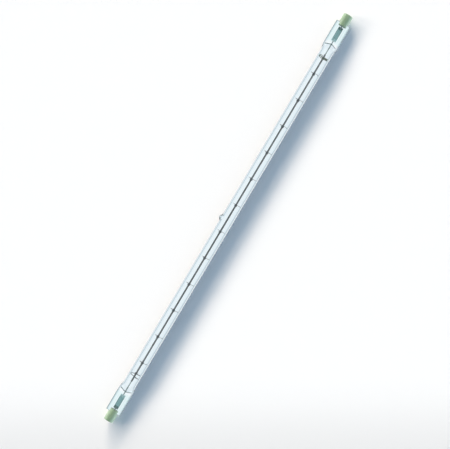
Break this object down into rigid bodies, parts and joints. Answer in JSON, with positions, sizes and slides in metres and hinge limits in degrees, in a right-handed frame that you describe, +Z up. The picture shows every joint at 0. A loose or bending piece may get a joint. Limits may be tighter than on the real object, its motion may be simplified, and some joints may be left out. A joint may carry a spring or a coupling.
{
  "type": "linear halogen bulb",
  "caption": "Long clear quartz tube lamp with flat pinched ends, a coiled filament held on its axis by wire spirals, and a slotted ceramic cap with a recessed contact at each end.",
  "frame": {"origin": "on the lamp's axis, half way between the outer faces of the caps", "axes": "+X along the lamp, +Z up from the flat faces of the pinch seals, +Y towards the exhaust tip"},
  "size_m": [0.3308, 0.0116, 0.0094],
  "materials": {
    "quartz": "clear fused quartz",
    "tungsten": "drawn wire",
    "molybdenum": "drawn wire",
    "molybdenum_foil": "rolled foil, seen through quartz",
    "cap_ceramic": "matt, fine-grained",
    "contact_nickel": "turned",
    "cement": "rough"
  },
  "bodies": {
    "root": {"quartz_envelope": "quartz", "filament_coil": "tungsten", "filament_support_01": "tungsten", "filament_support_02": "tungsten", "filament_support_03": "tungsten", "filament_support_04": "tungsten", "filament_support_05": "tungsten", "filament_support_06": "tungsten", "filament_support_07": "tungsten", "filament_support_08": "tungsten", "filament_support_09": "tungsten", "filament_support_10": "tungsten", "filament_support_11": "tungsten", "filament_support_12": "tungsten", "left_end_spiral": "tungsten", "left_inner_lead": "molybdenum", "left_foil": "molybdenum_foil", "left_outer_pin": "molybdenum", "left_cap": "cap_ceramic", "left_contact": "contact_nickel", "left_cement": "cement", "right_end_spiral": "tungsten", "right_inner_lead": "molybdenum", "right_foil": "molybdenum_foil", "right_outer_pin": "molybdenum", "right_cap": "cap_ceramic", "right_contact": "contact_nickel", "right_cement": "cement"}
  },
  "joints": []
}
